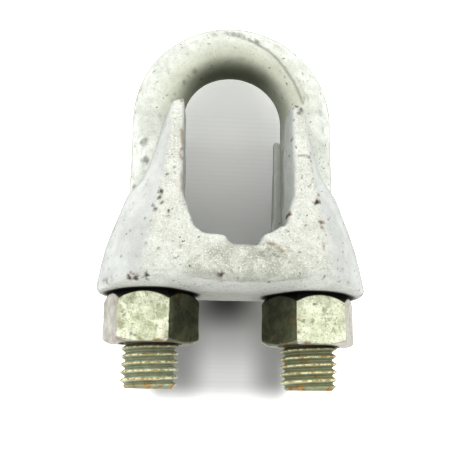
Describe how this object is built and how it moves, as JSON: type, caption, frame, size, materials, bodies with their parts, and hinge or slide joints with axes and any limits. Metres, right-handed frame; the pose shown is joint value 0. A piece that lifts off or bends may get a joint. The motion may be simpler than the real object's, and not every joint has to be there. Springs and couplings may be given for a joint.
{
  "type": "wire rope clip",
  "caption": "Galvanised U-bolt wire rope clip: a forged saddle with grooved rope seat and horns, drawn up on a threaded U-bolt by hexagon nuts to clamp a rope loop.",
  "frame": {"origin": "midway between the two legs of the U-bolt, level with their lower ends, so the clip stands on z = 0", "axes": "+X from the left leg to the right leg, +Y along the rope, +Z from the nut end towards the crown of the U"},
  "size_m": [0.091, 0.056, 0.1303],
  "materials": {
    "bar_zinc": "hot-dip galvanised, matte, light grey with dark pits and zinc runs",
    "forging_zinc": "hot-dip galvanised drop forging, matte, fine grain, small pits and rust marks",
    "nut_zinc": "galvanised, yellow-green cast, mottled, light rust at the edges"
  },
  "bodies": {
    "saddle": {"saddle": "forging_zinc"},
    "u_bolt": {"u_bolt": "bar_zinc"},
    "nut_left": {"nut_left": "nut_zinc"},
    "nut_right": {"nut_right": "nut_zinc"}
  },
  "joints": [
    {"name": "u_bolt_slide", "type": "slide", "parent": "saddle", "child": "u_bolt", "axis": [0, 0, 1], "range_m": [-0.01651, 0.02794]},
    {"name": "nut_left_turn", "type": "hinge", "parent": "saddle", "child": "nut_left", "pos_m": [-0.02675, 0, 0.02275], "axis": [0, 0, 1], "range_deg": [-3970, 2350]},
    {"name": "nut_right_turn", "type": "hinge", "parent": "saddle", "child": "nut_right", "pos_m": [0.02675, 0, 0.02275], "axis": [0, 0, 1], "range_deg": [-3970, 2350]}
  ],
  "couplings": [
    {"joint": "nut_left_turn", "follows": "u_bolt_slide", "rad_per_m": -2473.7},
    {"joint": "nut_right_turn", "follows": "u_bolt_slide", "rad_per_m": -2473.7}
  ]
}
